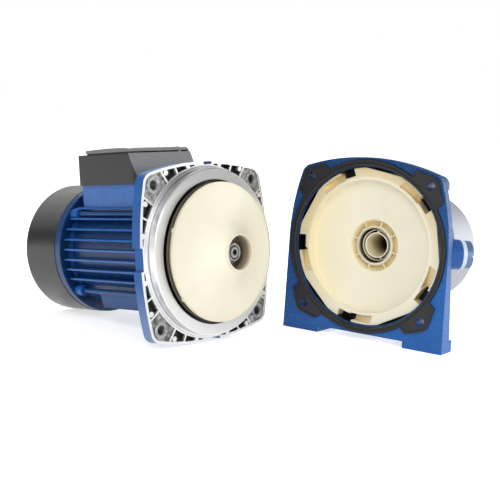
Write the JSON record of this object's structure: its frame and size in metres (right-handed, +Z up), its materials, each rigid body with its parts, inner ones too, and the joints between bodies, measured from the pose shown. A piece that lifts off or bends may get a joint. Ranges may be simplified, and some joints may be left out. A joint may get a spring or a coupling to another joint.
{
  "type": "surface water pump",
  "caption": "Self-priming surface jet pump opened for service: the motor unit with its impeller lies beside the upright cast casing with its diffuser",
  "frame": {"origin": "the point on the floor midway between the two foot bolt holes of the casing", "axes": "+Z up, along the discharge port; +Y along the pump axis from the open face back to the suction port; +X to the right as one looks into the open casing"},
  "size_m": [0.4068, 0.3647, 0.1805],
  "materials": {
    "blue_paint": "satin",
    "bracket_metal": "satin",
    "tank_metal": "satin",
    "bright_steel": "satin",
    "bearing_steel": "polished",
    "stack_steel": "satin",
    "rotor_aluminium": "satin",
    "winding_copper": "enamelled",
    "stud_brass": "satin",
    "cream_plastic": "satin",
    "plug_paint": "satin",
    "washer_white": "satin",
    "cover_grey": "satin",
    "lid_grey": "satin",
    "gasket_rubber": "matt",
    "seal_ceramic": "satin",
    "seal_carbon": "matt",
    "block_brown": "satin",
    "capacitor_white": "satin"
  },
  "bodies": {
    "casing_unit": {"pump_casing": "blue_paint", "casing_gasket": "gasket_rubber", "diffuser": "cream_plastic", "wear_ring": "bright_steel", "venturi_tube": "cream_plastic", "ejector_nozzle": "cream_plastic", "priming_tank": "tank_metal", "tank_seal": "gasket_rubber", "tank_bolts": "bright_steel", "gauge_washer": "washer_white", "filler_seal": "gasket_rubber", "drain_seal": "gasket_rubber"},
    "motor_unit": {"motor_bracket": "bracket_metal", "motor_housing": "blue_paint", "rear_shield": "blue_paint", "tie_rods": "bright_steel", "fan_cover": "cover_grey", "stator_core": "stack_steel", "stator_windings": "winding_copper", "front_bearing_outer": "bearing_steel", "rear_bearing_outer": "bearing_steel", "bearing_spring": "bright_steel", "seal_seat": "seal_ceramic", "seal_cup": "gasket_rubber", "terminal_box": "cover_grey", "box_gasket": "gasket_rubber", "box_lid": "lid_grey", "lid_screws": "bright_steel", "terminal_block": "block_brown", "terminal_studs": "stud_brass", "capacitor": "capacitor_white", "cable_gland": "cover_grey", "gland_nut": "cover_grey", "gland_seal": "gasket_rubber"},
    "rotor": {"shaft": "bright_steel", "rotor_core": "stack_steel", "rotor_end_rings": "rotor_aluminium", "front_bearing_inner": "bearing_steel", "rear_bearing_inner": "bearing_steel", "seal_head": "seal_carbon", "impeller": "cream_plastic", "impeller_key": "bright_steel", "impeller_washer": "bright_steel", "impeller_nut": "bright_steel", "nut_lock_ring": "capacitor_white", "fan": "cover_grey", "fan_clip": "bright_steel"},
    "front_ball_set": {"front_balls": "bearing_steel"},
    "rear_ball_set": {"rear_balls": "bearing_steel"},
    "filler_plug_body": {"filler_plug": "plug_paint"},
    "drain_plug_body": {"drain_plug": "plug_paint"},
    "gauge_plug_body": {"gauge_plug": "plug_paint"}
  },
  "joints": [
    {"name": "motor_unit_away", "type": "slide", "parent": "casing_unit", "child": "motor_unit", "axis": [-0.9914, 0.1305, 0], "range_m": [0, 0.15]},
    {"name": "rotor_spin", "type": "hinge", "parent": "motor_unit", "child": "rotor", "pos_m": [-0.1009, -0.1538, 0.08535], "axis": [0.9863, -0.1298, 0.102], "continuous": true},
    {"name": "front_balls_orbit", "type": "hinge", "parent": "motor_unit", "child": "front_ball_set", "pos_m": [-0.1009, -0.1538, 0.08535], "axis": [0.9863, -0.1298, 0.102], "continuous": true},
    {"name": "rear_balls_orbit", "type": "hinge", "parent": "motor_unit", "child": "rear_ball_set", "pos_m": [-0.1009, -0.1538, 0.08535], "axis": [0.9863, -0.1298, 0.102], "continuous": true},
    {"name": "filler_plug_out", "type": "slide", "parent": "casing_unit", "child": "filler_plug_body", "axis": [0, 0, 1], "range_m": [0, 0.03]},
    {"name": "drain_plug_out", "type": "slide", "parent": "casing_unit", "child": "drain_plug_body", "axis": [0, 1, 0], "range_m": [0, 0.03]},
    {"name": "gauge_plug_out", "type": "slide", "parent": "casing_unit", "child": "gauge_plug_body", "axis": [0.7071, 0.7071, 0], "range_m": [0, 0.03]}
  ],
  "couplings": [
    {"joint": "front_balls_orbit", "follows": "rotor_spin", "ratio": 0.384},
    {"joint": "rear_balls_orbit", "follows": "rotor_spin", "ratio": 0.384}
  ]
}
